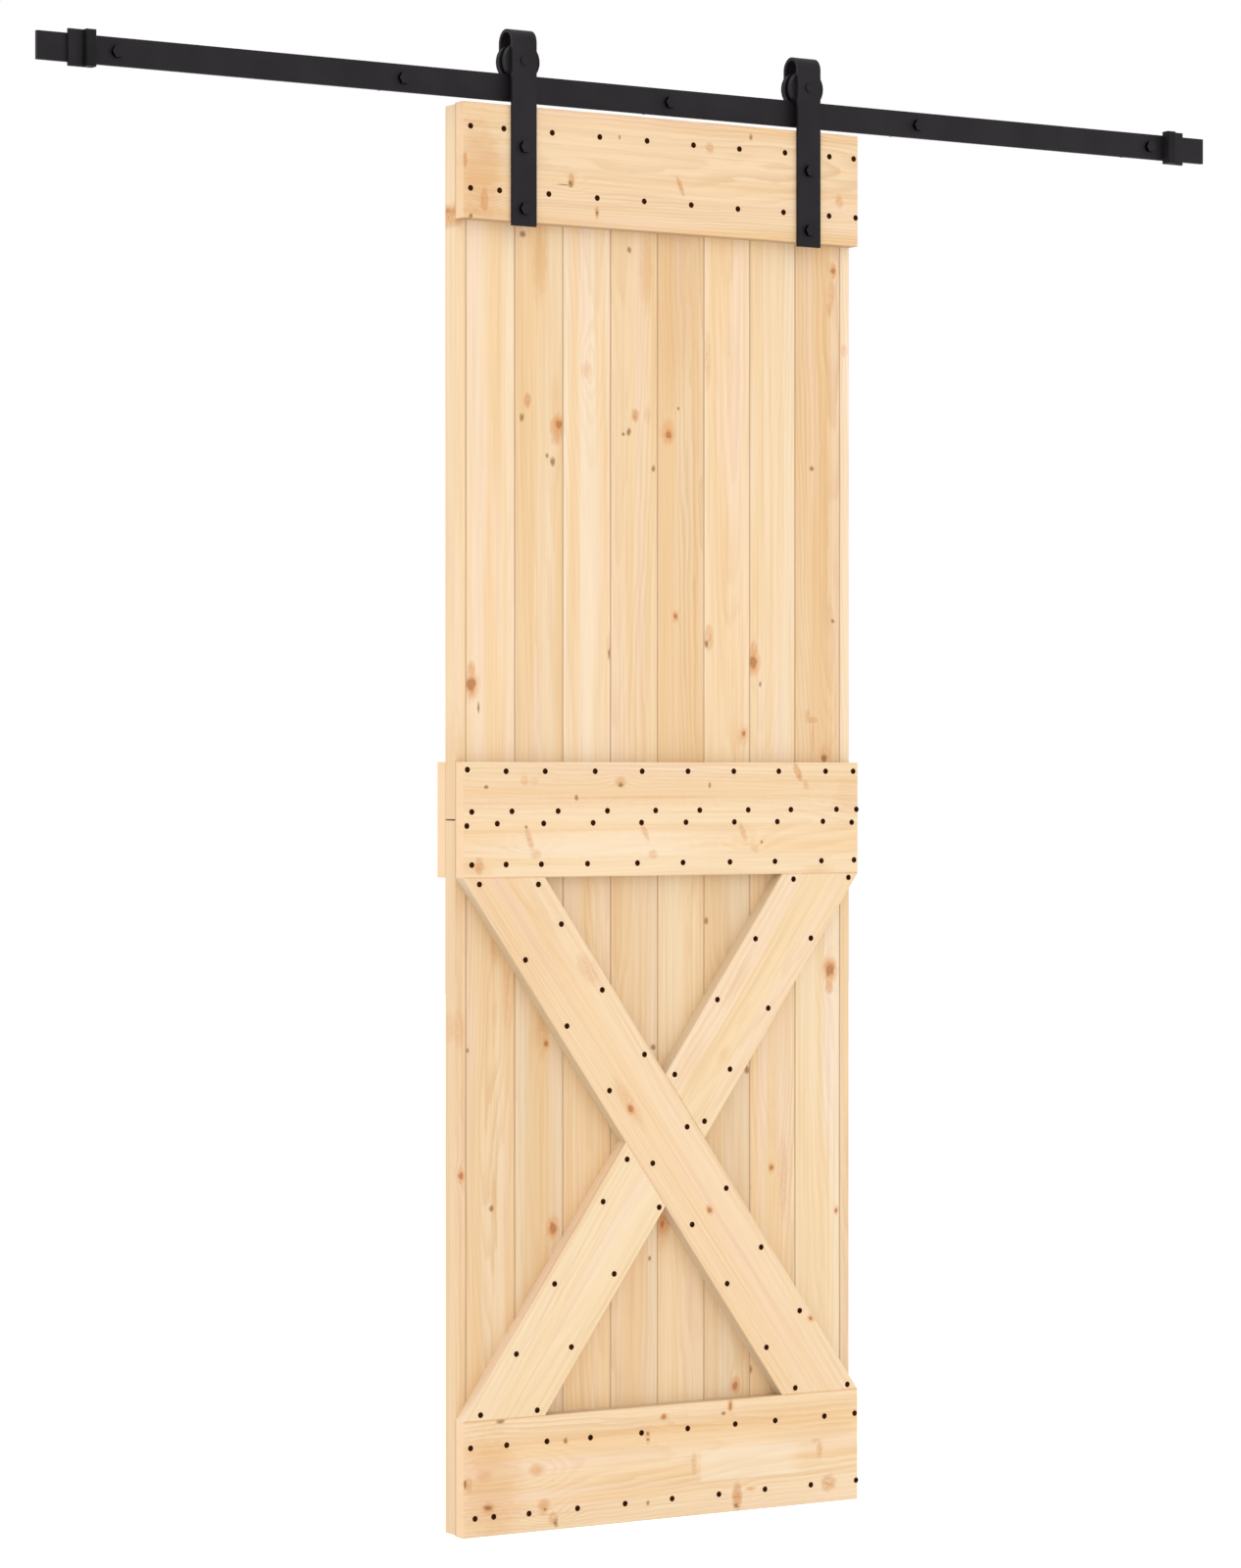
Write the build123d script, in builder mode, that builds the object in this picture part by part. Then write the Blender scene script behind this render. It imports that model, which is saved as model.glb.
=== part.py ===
import math
import os

from build123d import *

os.makedirs("parts", exist_ok=True)

# Door leaf: X runs along the track, Z is up, and distances in front of the wall run along -Y.
door_width = 700.0
door_height = 2100.0
door_rest = -14.0
rail_height = 170.0
rail_thickness = 24.0
panel_thickness = 30.0
panel_inset = 2.0
panel_split = 2.0
board_count = 8
stile_width = 18.0
brace_width = 114.0
edge_ease = 1.5
board_chamfer = 1.0
tongue_length = 7.0
tongue_thickness = 9.0
tongue_clearance = 0.4

# Track, stand-offs and bolts.
track_length = 2060.0
track_shift = -6.0
track_height = 40.0
track_thickness = 6.0
hole_pitch = 457.0
hole_count = 5
bolt_diameter = 10.0
bolt_clearance = 0.3
hex_across_flats = 16.0
hex_head_height = 6.4
standoff_diameter = 18.0
wall_clearance = 8.0
head_clearance = 7.0

# End stops.
stop_height = 52.0
stop_plate_width = 23.0
stop_plate_thickness = 6.0
stop_end_distance = 45.5
bumper_width = 15.0
bumper_depth = 17.0
bumper_round = 3.0

# Hangers.
strap_width = 41.5
strap_thickness = 5.0
strap_overhang = 7.0
strap_bolt_top = 61.0
strap_bolt_edge = 18.0
back_leg_drop = 19.0
right_hanger_shift = 7.0
wheel_width = 29.0
wheel_side_clearance = 0.5
wheel_top_clearance = 13.8
tread_radius = 18.7
flange_radius = 29.0
groove_side_clearance = 1.5
running_clearance = 0.3
axle_clearance = 0.1
axle_head_diameter = 13.0
axle_head_height = 2.4
nut_height = 8.0

# Distances in front of the wall.
strap_gap = wheel_width + 2 * wheel_side_clearance
door_thickness = 2 * rail_thickness + panel_thickness
track_mid = wall_clearance + door_thickness - strap_gap / 2
standoff_length = track_mid - track_thickness / 2
track_front = track_mid + track_thickness / 2
door_front = track_mid + strap_gap / 2
strap_front = door_front + strap_thickness
panel_front = door_front - rail_thickness
panel_back = panel_front - panel_thickness
back_rail_back = panel_back - rail_thickness
back_leg_front = track_mid - strap_gap / 2
back_leg_back = back_leg_front - strap_thickness

# Heights, from the middle of the track.
track_top = track_height / 2
door_top = -track_height / 2 - head_clearance
door_middle = door_top - door_height / 2
door_bottom = door_top - door_height
axle_height = track_top + tread_radius + running_clearance
bend_radius = strap_gap / 2
bend_height = axle_height + flange_radius + wheel_top_clearance - bend_radius
strap_bottom = door_top - rail_height - strap_overhang
back_leg_bottom = axle_height - back_leg_drop

# Positions along the track.
door_left = door_rest - door_width / 2
door_right = door_rest + door_width / 2
board_width = (door_width - 2 * stile_width) / board_count
hanger_inset = stile_width + board_width
hanger_places = {
    "left": door_left + hanger_inset,
    "right": door_right - hanger_inset + right_hanger_shift,
}
hole_places = [hole_pitch * (index - (hole_count - 1) / 2) for index in range(hole_count)]
bolt_hole_radius = bolt_diameter / 2 + bolt_clearance
shank_radius = bolt_diameter / 2


def facing(distance):
    return Plane.XZ.offset(distance)


def finish(part, label):
    part.label = label
    export_step(part, "parts/" + label + ".step")


def board(label, left, width, low, high, groove, tongue, bores):
    right = left + width
    front, back = -panel_front, -panel_back
    centre = (front + back) / 2
    half_slot = tongue_thickness / 2 + tongue_clearance
    half_tongue = tongue_thickness / 2
    slot_depth = tongue_length + tongue_clearance
    outline = [(left, front + board_chamfer), (left + board_chamfer, front)]
    outline += [(right - board_chamfer, front), (right, front + board_chamfer)]
    if tongue:
        outline += [(right, centre - half_tongue), (right + tongue_length, centre - half_tongue + 1)]
        outline += [(right + tongue_length, centre + half_tongue - 1), (right, centre + half_tongue)]
    outline += [(right, back - board_chamfer), (right - board_chamfer, back)]
    outline += [(left + board_chamfer, back), (left, back - board_chamfer)]
    if groove:
        outline += [(left, centre + half_slot), (left + slot_depth, centre + half_slot - 1)]
        outline += [(left + slot_depth, centre - half_slot + 1), (left, centre - half_slot)]
    with BuildPart() as plank:
        with BuildSketch(Plane.XY.offset(low)):
            with BuildLine():
                Polyline(*outline, close=True)
            make_face()
        extrude(amount=high - low)
        reach = bolt_hole_radius + tongue_length
        crossed = [spot for spot in bores if left - reach < spot[0] < right + reach]
        if crossed:
            with BuildSketch(facing(panel_back)):
                with Locations(*crossed):
                    Circle(bolt_hole_radius)
            extrude(amount=panel_thickness, mode=Mode.SUBTRACT)
    finish(plank.part, label)


strap_bolt_drops = (strap_bolt_top, rail_height - strap_bolt_edge)
bolt_spots = [
    (place, door_top - drop) for place in hanger_places.values() for drop in strap_bolt_drops
]
halves = {
    "upper": (door_middle + panel_split / 2, door_top - panel_inset, bolt_spots),
    "lower": (door_bottom + panel_inset, door_middle - panel_split / 2, []),
}
for half, (low, high, bores) in halves.items():
    board(half + "_left_stile", door_left, stile_width, low, high, False, True, bores)
    for number in range(board_count):
        left = door_left + stile_width + number * board_width
        board(half + "_board_" + str(number + 1), left, board_width, low, high, True, True, bores)
    board(half + "_right_stile", door_right - stile_width, stile_width, low, high, True, False, bores)


def cross_rail(label, back, low, bores):
    with BuildPart() as rail:
        with BuildSketch(facing(back)):
            with Locations((door_rest, low + rail_height / 2)):
                Rectangle(door_width, rail_height)
        extrude(amount=rail_thickness)
        outer = back + rail_thickness if back >= panel_front else back
        face = rail.faces().filter_by(Axis.Y).sort_by(Axis.Y)[0 if outer > back else -1]
        chamfer(face.edges(), length=edge_ease)
        if bores:
            with BuildSketch(facing(back)):
                with Locations(*bores):
                    Circle(bolt_hole_radius)
            extrude(amount=rail_thickness, mode=Mode.SUBTRACT)
    finish(rail.part, label)


mid_low = door_middle - rail_height / 2
cross_rail("top_rail", panel_front, door_top - rail_height, bolt_spots)
cross_rail("mid_rail_front", panel_front, mid_low, [])
cross_rail("mid_rail_back", back_rail_back, mid_low, [])
cross_rail("bottom_rail", panel_front, door_bottom, [])

# The diagonal braces fill the field between the middle and the bottom rails.
field_low = door_bottom + rail_height
field_high = mid_low
field_height = field_high - field_low


def cut_length(run):
    return brace_width * math.hypot(run, field_height) / field_height


brace_cut = brace_width
for step in range(40):
    brace_cut = cut_length(door_width - brace_cut)
lean = (door_width - brace_cut) / field_height


def brace(label, outline):
    with BuildPart() as timber:
        with BuildSketch(facing(panel_front)):
            with BuildLine():
                Polyline(*outline, close=True)
            make_face()
        extrude(amount=rail_thickness)
        face = timber.faces().filter_by(Axis.Y).sort_by(Axis.Y)[0]
        chamfer(face.edges(), length=edge_ease)
    finish(timber.part, label)


def crossing(start, height, slope, other_start, other_height, other_slope):
    gap = (other_start - start + slope * height - other_slope * other_height) / (slope - other_slope)
    return (start + slope * (gap - height), gap)


long_left = (door_left, field_high, -lean)
long_right = (door_left + brace_cut, field_high, -lean)
short_left = (door_left, field_low, lean)
short_right = (door_left + brace_cut, field_low, lean)
brace(
    "brace_long",
    [
        (door_left, field_high),
        (door_left + brace_cut, field_high),
        (door_right, field_low),
        (door_right - brace_cut, field_low),
    ],
)
brace(
    "brace_upper",
    [
        (door_right - brace_cut, field_high),
        (door_right, field_high),
        crossing(*short_right, *long_right),
        crossing(*short_left, *long_right),
    ],
)
brace(
    "brace_lower",
    [
        (door_left, field_low),
        (door_left + brace_cut, field_low),
        crossing(*short_right, *long_left),
        crossing(*short_left, *long_left),
    ],
)


def hex_head(distance, spots, height):
    with BuildSketch(facing(distance)) as outline:
        with Locations(*spots):
            RegularPolygon(hex_across_flats / 2, 6, major_radius=False)
    extrude(outline.sketch, amount=height)


def shank(start, length, spots):
    with BuildSketch(facing(start)) as outline:
        with Locations(*spots):
            Circle(shank_radius)
    extrude(outline.sketch, amount=length)


def hanger(side, place):
    with BuildPart() as strap:
        with BuildSketch(Plane.YZ.offset(place - strap_width / 2)):
            with BuildLine():
                Line((-strap_front, strap_bottom), (-strap_front, bend_height))
                Line((-door_front, strap_bottom), (-door_front, bend_height))
                Line((-strap_front, strap_bottom), (-door_front, strap_bottom))
                ThreePointArc(
                    (-strap_front, bend_height),
                    (-track_mid, bend_height + bend_radius + strap_thickness),
                    (-back_leg_back, bend_height),
                )
                ThreePointArc(
                    (-door_front, bend_height),
                    (-track_mid, bend_height + bend_radius),
                    (-back_leg_front, bend_height),
                )
                Line((-back_leg_back, bend_height), (-back_leg_back, back_leg_bottom))
                Line((-back_leg_front, bend_height), (-back_leg_front, back_leg_bottom))
                Line((-back_leg_back, back_leg_bottom), (-back_leg_front, back_leg_bottom))
            make_face()
        extrude(amount=strap_width)
        spots = [(place, door_top - drop) for drop in strap_bolt_drops]
        with BuildSketch(facing(door_front)):
            with Locations(*spots):
                Circle(bolt_hole_radius)
        extrude(amount=strap_thickness, mode=Mode.SUBTRACT)
        with BuildSketch(facing(back_leg_back)):
            with Locations((place, axle_height)):
                Circle(bolt_hole_radius)
        extrude(amount=strap_front - back_leg_back, mode=Mode.SUBTRACT)
    finish(strap.part, side + "_strap")

    with BuildPart() as axle:
        spot = [(place, axle_height)]
        with BuildSketch(facing(strap_front)):
            with Locations(*spot):
                Circle(axle_head_diameter / 2)
        extrude(amount=axle_head_height)
        hex_head(back_leg_back - nut_height, spot, nut_height)
        shank(back_leg_back - nut_height, strap_front - back_leg_back + nut_height, spot)
    finish(axle.part, side + "_axle")

    with BuildPart() as bolts:
        hex_head(strap_front, spots, hex_head_height)
        shank(panel_back, strap_front - panel_back, spots)
        hex_head(panel_back - nut_height, spots, nut_height)
    finish(bolts.part, side + "_strap_bolts")

    half_groove = track_thickness / 2 + groove_side_clearance
    half_width = wheel_width / 2
    bore = shank_radius + axle_clearance
    with BuildPart() as wheel:
        with BuildSketch(Plane.XY.offset(axle_height)):
            with BuildLine():
                Polyline(
                    (place + bore, -track_mid - half_width),
                    (place + flange_radius, -track_mid - half_width),
                    (place + flange_radius, -track_mid - half_groove),
                    (place + tread_radius, -track_mid - half_groove),
                    (place + tread_radius, -track_mid + half_groove),
                    (place + flange_radius, -track_mid + half_groove),
                    (place + flange_radius, -track_mid + half_width),
                    (place + bore, -track_mid + half_width),
                    close=True,
                )
            make_face()
        revolve(axis=Axis((place, -track_mid, axle_height), (0, 1, 0)))
    finish(wheel.part, side + "_wheel")


for side, place in hanger_places.items():
    hanger(side, place)

hole_spots = [(place, 0) for place in hole_places]
with BuildPart() as track_rail:
    with BuildSketch(facing(standoff_length)):
        with Locations((track_shift, 0)):
            Rectangle(track_length, track_height)
        with Locations(*hole_spots):
            Circle(bolt_hole_radius, mode=Mode.SUBTRACT)
    extrude(amount=track_thickness)
finish(track_rail.part, "track_rail")

with BuildPart() as standoffs:
    with BuildSketch(Plane.XZ):
        with Locations(*hole_spots):
            Circle(standoff_diameter / 2)
            Circle(bolt_hole_radius, mode=Mode.SUBTRACT)
    extrude(amount=standoff_length)
finish(standoffs.part, "standoffs")

with BuildPart() as lag_bolts:
    hex_head(track_front, hole_spots, hex_head_height)
    shank(0, track_front, hole_spots)
finish(lag_bolts.part, "lag_bolts")


def end_stop(side, toward):
    outer = track_shift - toward * (track_length / 2 - stop_end_distance)
    plate_mid = outer + toward * stop_plate_width / 2
    bumper_mid = outer + toward * (stop_plate_width + bumper_width / 2)
    with BuildPart() as plate:
        with BuildSketch(facing(track_front)):
            with Locations((plate_mid, 0)):
                Rectangle(stop_plate_width, stop_height)
        extrude(amount=stop_plate_thickness)
        face = plate.faces().filter_by(Axis.Y).sort_by(Axis.Y)[0]
        chamfer(face.edges(), length=edge_ease)
    finish(plate.part, side + "_stop")

    with BuildPart() as bumper:
        with BuildSketch(facing(track_front)):
            with Locations((bumper_mid, 0)):
                Rectangle(bumper_width, stop_height)
        extrude(amount=bumper_depth)
        face = bumper.faces().filter_by(Axis.Y).sort_by(Axis.Y)[0]
        fillet(face.edges(), radius=bumper_round)
    finish(bumper.part, side + "_bumper")


end_stop("left", 1)
end_stop("right", -1)
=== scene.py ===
import math

import bpy
from mathutils import Matrix, Vector


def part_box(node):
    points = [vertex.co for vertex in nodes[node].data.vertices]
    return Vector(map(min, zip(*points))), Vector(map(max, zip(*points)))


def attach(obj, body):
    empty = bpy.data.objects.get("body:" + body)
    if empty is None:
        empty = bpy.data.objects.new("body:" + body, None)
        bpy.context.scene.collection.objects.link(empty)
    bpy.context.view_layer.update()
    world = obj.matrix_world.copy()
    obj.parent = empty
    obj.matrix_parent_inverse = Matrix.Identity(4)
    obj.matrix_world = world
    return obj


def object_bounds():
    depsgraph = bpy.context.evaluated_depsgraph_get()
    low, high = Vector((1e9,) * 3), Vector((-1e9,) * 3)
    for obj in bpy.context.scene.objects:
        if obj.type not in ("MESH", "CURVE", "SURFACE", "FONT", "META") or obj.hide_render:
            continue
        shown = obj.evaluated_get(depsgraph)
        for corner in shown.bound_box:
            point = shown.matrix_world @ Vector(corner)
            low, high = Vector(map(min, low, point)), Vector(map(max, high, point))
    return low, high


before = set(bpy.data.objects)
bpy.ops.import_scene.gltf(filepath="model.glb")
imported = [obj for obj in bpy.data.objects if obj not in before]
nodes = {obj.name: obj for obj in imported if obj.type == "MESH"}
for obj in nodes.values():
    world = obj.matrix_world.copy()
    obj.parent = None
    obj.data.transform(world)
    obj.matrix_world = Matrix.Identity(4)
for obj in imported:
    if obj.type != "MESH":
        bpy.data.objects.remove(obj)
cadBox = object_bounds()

scene = bpy.context.scene
scene.view_settings.view_transform = "Standard"
print("door frame loaded:", len(nodes), "nodes")


# Camera

photoView = {
    "size": (1266, 1600),              # pixels of the whole picture
    "place": (-3.654, -5.843, -1.011),
    "yaw": 31.73,                      # degrees right of straight ahead
    "pitch": -0.115,
    "focal": 4632,                     # pixels
    "sensor": 36,
    "clipEnd": 60,
}


def viewAxes(view):
    yaw = math.radians(view["yaw"])
    pitch = math.radians(view["pitch"])
    right = Vector((math.cos(yaw), -math.sin(yaw), 0))
    ahead = Vector((math.sin(yaw) * math.cos(pitch), math.cos(yaw) * math.cos(pitch), math.sin(pitch)))
    return right, ahead, right.cross(ahead)


# Where a pixel of the picture meets an upright plane across the room
def photoPoint(px, py, planeY, view=photoView):
    right, ahead, up = viewAxes(view)
    width, height = view["size"]
    ray = ahead * view["focal"] + right * (px - width / 2) + up * (height / 2 - py)
    place = Vector(view["place"])
    return place + ray * ((planeY - place.y) / ray.y)


def makeCamera(view):
    data = bpy.data.cameras.new("doorCamera")
    data.sensor_width = view["sensor"]
    data.lens = data.sensor_width * view["focal"] / view["size"][1]
    data.clip_end = view["clipEnd"]
    camera = bpy.data.objects.new("doorCamera", data)
    camera.location = view["place"]
    camera.rotation_euler = (math.radians(90 + view["pitch"]), 0, -math.radians(view["yaw"]))
    scene.collection.objects.link(camera)
    scene.camera = camera


makeCamera(photoView)
print("camera set")


# Small helpers for node trees

def connect(tree, socket, value):
    if isinstance(value, bpy.types.NodeSocket):
        tree.links.new(value, socket)
    else:
        socket.default_value = value


def addNode(tree, kind, sockets=None, **settings):
    node = tree.nodes.new(kind)
    for name, value in settings.items():
        setattr(node, name, value)
    for name, value in (sockets or {}).items():
        connect(tree, node.inputs[name], value)
    return node


def calc(tree, operation, *values):
    node = addNode(tree, "ShaderNodeMath", operation=operation)
    for socket, value in zip(node.inputs, values):
        connect(tree, socket, value)
    return node.outputs[0]


def calcVector(tree, operation, *values):
    node = addNode(tree, "ShaderNodeVectorMath", operation=operation)
    for socket, value in zip(node.inputs, values):
        connect(tree, socket, value)
    return node.outputs["Vector"]


def squareSum(tree, first, second):
    return calc(tree, "ADD", calc(tree, "MULTIPLY", first, first), calc(tree, "MULTIPLY", second, second))


def hypotenuse(tree, first, second):
    return calc(tree, "SQRT", squareSum(tree, first, second))


def mapRange(tree, value, low, high, outLow=0.0, outHigh=1.0, kind="SMOOTHSTEP"):
    node = addNode(tree, "ShaderNodeMapRange", interpolation_type=kind)
    for name, item in zip(("Value", "From Min", "From Max", "To Min", "To Max"),
                          (value, low, high, outLow, outHigh)):
        connect(tree, node.inputs[name], item)
    return node.outputs["Result"]


def blendColor(tree, factor, first, second, mode="MIX"):
    node = addNode(tree, "ShaderNodeMix", data_type="RGBA", blend_type=mode)
    connect(tree, node.inputs[0], factor)
    connect(tree, node.inputs[6], first)
    connect(tree, node.inputs[7], second)
    return node.outputs[2]


def noise(tree, vector, scale, detail=2.0):
    node = addNode(tree, "ShaderNodeTexNoise", {"Vector": vector, "Scale": scale, "Detail": detail})
    return node.outputs["Fac"]


# Noise with a scale of its own along each axis
def drawnNoise(tree, vector, scales, detail=2.0):
    return noise(tree, calcVector(tree, "MULTIPLY", vector, scales), 1.0, detail)


# Noise made to swing evenly about nothing
def swing(tree, value, amount):
    return calc(tree, "MULTIPLY", calc(tree, "SUBTRACT", value, 0.5), amount)


def splitAxes(tree, vector):
    return addNode(tree, "ShaderNodeSeparateXYZ", {"Vector": vector}).outputs


def newGroup(name, inputs, outputs):
    tree = bpy.data.node_groups.new(name, "ShaderNodeTree")
    kinds = {"value": "NodeSocketFloat", "vector": "NodeSocketVector", "color": "NodeSocketColor"}
    for label, kind in inputs.items():
        tree.interface.new_socket(label, in_out="INPUT", socket_type=kinds[kind])
    for label, kind in outputs.items():
        tree.interface.new_socket(label, in_out="OUTPUT", socket_type=kinds[kind])
    begin = tree.nodes.new("NodeGroupInput")
    end = tree.nodes.new("NodeGroupOutput")
    return tree, begin.outputs, end.inputs


def useGroup(tree, group, sockets):
    return addNode(tree, "ShaderNodeGroup", sockets, node_tree=group).outputs


def newMaterial(name):
    material = bpy.data.materials.new(name)
    material.use_nodes = True
    tree = material.node_tree
    return material, tree, tree.nodes["Principled BSDF"]


# Pine: in a board's own coordinates X is across the grain, Y into the board and Z along the grain.
# Reaches are in a mark's own radii or in metres, and a range maps noise or distance to a strength.

knotShape = {
    "wobbleScale": (170.0, 60.0, 75.0),
    "wobble": 1.5,
    "haloDraw": 1.3,                   # a halo is this much longer than its knot along the grain
    "liftWide": 2.6,                   # radii over which the rings bend round a knot
    "liftTall": 3.6,
    "coreReach": (1.4, 0.35),
    "rimReach": (0.3, 0.9),
    "haloReach": (2.6, 0.6),
}


def makeKnotGroup(shape):
    tree, given, result = newGroup(
        "pineKnot",
        {"Place": "vector", "Centre": "vector", "Radius": "value", "Stretch": "value", "Tilt": "value"},
        {"Lift": "value", "Core": "value", "Rim": "value", "Halo": "value"},
    )
    offset = calcVector(tree, "SUBTRACT", given["Place"], given["Centre"])
    turned = addNode(tree, "ShaderNodeVectorRotate", {"Vector": offset, "Angle": given["Tilt"]},
                     rotation_type="Y_AXIS").outputs[0]
    parts = splitAxes(tree, turned)
    across = calc(tree, "DIVIDE", parts["X"], given["Radius"])
    along = calc(tree, "DIVIDE", parts["Z"], calc(tree, "MULTIPLY", given["Radius"], given["Stretch"]))
    bend = swing(tree, drawnNoise(tree, given["Place"], shape["wobbleScale"]), shape["wobble"])
    edge = calc(tree, "ADD", hypotenuse(tree, across, along), bend)
    drawn = calc(tree, "DIVIDE", along, shape["haloDraw"])
    glow = calc(tree, "ADD", hypotenuse(tree, across, drawn), bend)
    wide = calc(tree, "DIVIDE", across, shape["liftWide"])
    tall = calc(tree, "DIVIDE", along, shape["liftTall"])
    lift = calc(tree, "EXPONENT", calc(tree, "MULTIPLY", squareSum(tree, wide, tall), -1.0))
    core = mapRange(tree, edge, *shape["coreReach"])
    connect(tree, result["Lift"], calc(tree, "MULTIPLY", lift, given["Radius"]))
    connect(tree, result["Core"], core)
    connect(tree, result["Rim"], calc(tree, "MULTIPLY", core, mapRange(tree, edge, *shape["rimReach"])))
    connect(tree, result["Halo"], mapRange(tree, glow, *shape["haloReach"]))
    return tree


grainShape = {
    "swayScale": (9.0, 9.0, 1.1),
    "sway": 0.05,
    "rippleScale": (30.0, 30.0, 11.0),
    "ripple": 0.006,
    "knotLift": 1.4,
    "unevenScale": (160.0, 160.0, 5.0),
    "uneven": 0.7,
    "lateRise": (0.15, 0.88),          # late wood, as shares of a ring
    "lateFall": (1.0, 0.86),
    "toneScale": (28.0, 28.0, 1.6),
    "toneRange": (0.35, 0.75, 0.15, 1.0),
    "bandScale": (30.0, 30.0, 0.8),
    "bandDetail": 1.5,
    "bandRange": (0.36, 0.64),
    "rosyScale": (35.7, 35.7, 1.53),
    "rosyDetail": 1.0,
    "rosyRange": (0.5, 0.7, 0.0, 0.8),
    "fibreScale": (620.0, 620.0, 9.0),
    "fibreRange": (0.3, 0.75, 0.0, 0.18),
    "fibreHeight": 0.6,
    "threadScale": (210.0, 210.0, 2.5),
    "threadRange": (0.42, 0.78, 0.0, 0.36),
    "lateTone": (0.80, 0.67, 0.52, 1.0),
}


def makeGrainGroup(shape):
    tree, given, result = newGroup(
        "pineGrain",
        {"Place": "vector", "Seed": "value", "Pith": "vector", "Slope": "value", "Spacing": "value",
         "Lift": "value", "Contrast": "value", "Pale": "color", "Warm": "color", "Rosy": "color"},
        {"Color": "color", "Ring": "value", "Height": "value"},
    )
    seedShift = addNode(tree, "ShaderNodeCombineXYZ", {"X": given["Seed"], "Y": given["Seed"],
                                                       "Z": given["Seed"]}).outputs[0]
    place = calcVector(tree, "ADD", given["Place"], seedShift)
    sway = swing(tree, drawnNoise(tree, place, shape["swayScale"]), shape["sway"])
    ripple = swing(tree, drawnNoise(tree, place, shape["rippleScale"]), shape["ripple"])

    # Growth rings about a pith that leans slowly away from the face
    parts = splitAxes(tree, calcVector(tree, "SUBTRACT", given["Place"], given["Pith"]))
    lean = calc(tree, "MULTIPLY", parts["Z"], given["Slope"])
    depth = calc(tree, "ADD", calc(tree, "ADD", parts["Y"], lean), sway)
    radius = calc(tree, "ADD", hypotenuse(tree, parts["X"], depth), ripple)
    lifted = calc(tree, "SUBTRACT", radius, calc(tree, "MULTIPLY", given["Lift"], shape["knotLift"]))
    uneven = calc(tree, "MULTIPLY", drawnNoise(tree, place, shape["unevenScale"]), shape["uneven"])
    phase = calc(tree, "ADD", calc(tree, "DIVIDE", lifted, given["Spacing"]), uneven)
    turn = calc(tree, "FRACT", phase)
    late = calc(tree, "MULTIPLY", mapRange(tree, turn, *shape["lateRise"]),
                mapRange(tree, turn, *shape["lateFall"]))
    ringTone = mapRange(tree, drawnNoise(tree, place, shape["toneScale"]), *shape["toneRange"])
    ring = calc(tree, "MULTIPLY", late, calc(tree, "MULTIPLY", ringTone, given["Contrast"]))

    # Long pale and rosy bands, then fine fibre streaks
    bands = drawnNoise(tree, place, shape["bandScale"], shape["bandDetail"])
    rosy = drawnNoise(tree, place, shape["rosyScale"], shape["rosyDetail"])
    fibre = drawnNoise(tree, place, shape["fibreScale"])
    thread = drawnNoise(tree, place, shape["threadScale"])
    base = blendColor(tree, mapRange(tree, bands, *shape["bandRange"]), given["Pale"], given["Warm"])
    base = blendColor(tree, mapRange(tree, rosy, *shape["rosyRange"]), base, given["Rosy"])
    dark = blendColor(tree, 1.0, base, shape["lateTone"], "MULTIPLY")
    color = blendColor(tree, ring, base, dark)
    color = blendColor(tree, mapRange(tree, fibre, *shape["fibreRange"]), color, dark)
    color = blendColor(tree, mapRange(tree, thread, *shape["threadRange"]), color, dark)
    connect(tree, result["Color"], color)
    connect(tree, result["Ring"], ring)
    fuzz = calc(tree, "MULTIPLY", fibre, shape["fibreHeight"])
    connect(tree, result["Height"], calc(tree, "ADD", fuzz, ring))
    return tree


jointShape = {
    "patchScale": (40.0, 40.0, 6.0),
    "patchRange": (0.3, 0.7, 0.8, 1.25),
    "reach": (1.0, 0.45),
}


# A line of shade and dust in the joint beside a board
def makeJointGroup(shape):
    tree, given, result = newGroup(
        "boardJoint",
        {"Place": "vector", "Low": "value", "High": "value", "Width": "value"},
        {"Mask": "value"},
    )
    parts = splitAxes(tree, given["Place"])
    patchy = drawnNoise(tree, given["Place"], shape["patchScale"])
    width = calc(tree, "MULTIPLY", given["Width"], mapRange(tree, patchy, *shape["patchRange"]))
    fromLow = calc(tree, "DIVIDE", calc(tree, "SUBTRACT", parts["X"], given["Low"]), width)
    fromHigh = calc(tree, "DIVIDE", calc(tree, "SUBTRACT", given["High"], parts["X"]), width)
    nearest = calc(tree, "MINIMUM", fromLow, fromHigh)
    connect(tree, result["Mask"], mapRange(tree, nearest, *shape["reach"]))
    return tree


lamellaShape = {
    "fingerWidth": 0.002,
    "fingerSlope": 3.0,
    "sharpEdge": 0.0006,
    "softEnd": 0.02,
}


# A short glued block between two opposite corners, one end cut as a finger joint and the other faded out
def makeLamellaGroup(shape):
    tree, given, result = newGroup(
        "glueLamella",
        {"Place": "vector", "Upper": "vector", "Lower": "vector"},
        {"Mask": "value"},
    )

    def inside(high, low, blur):
        return mapRange(tree, calc(tree, "SUBTRACT", high, low), -blur, blur)

    spot = splitAxes(tree, given["Place"])
    first = splitAxes(tree, given["Upper"])
    last = splitAxes(tree, given["Lower"])
    finger = calc(tree, "MULTIPLY", calc(tree, "PINGPONG", spot["X"], shape["fingerWidth"]),
                  shape["fingerSlope"])
    along = calc(tree, "ADD", spot["Z"], finger)
    sides = calc(tree, "MULTIPLY", inside(first["X"], spot["X"], shape["sharpEdge"]),
                 inside(spot["X"], last["X"], shape["sharpEdge"]))
    ends = calc(tree, "MULTIPLY", inside(first["Z"], along, shape["sharpEdge"]),
                inside(along, last["Z"], shape["softEnd"]))
    connect(tree, result["Mask"], calc(tree, "MULTIPLY", sides, ends))
    return tree


pieceEdgeShape = {
    "flankReach": (-0.002, -0.0005),
    "faceReach": (0.001, 0.002),       # the front face itself gets no painted shade
    "endReach": (-0.0012, -0.0002),
    # The back seam of a piece gets a painted contact shadow
    "contactShadeReach": (0.0032, 0.0022),
}
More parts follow.
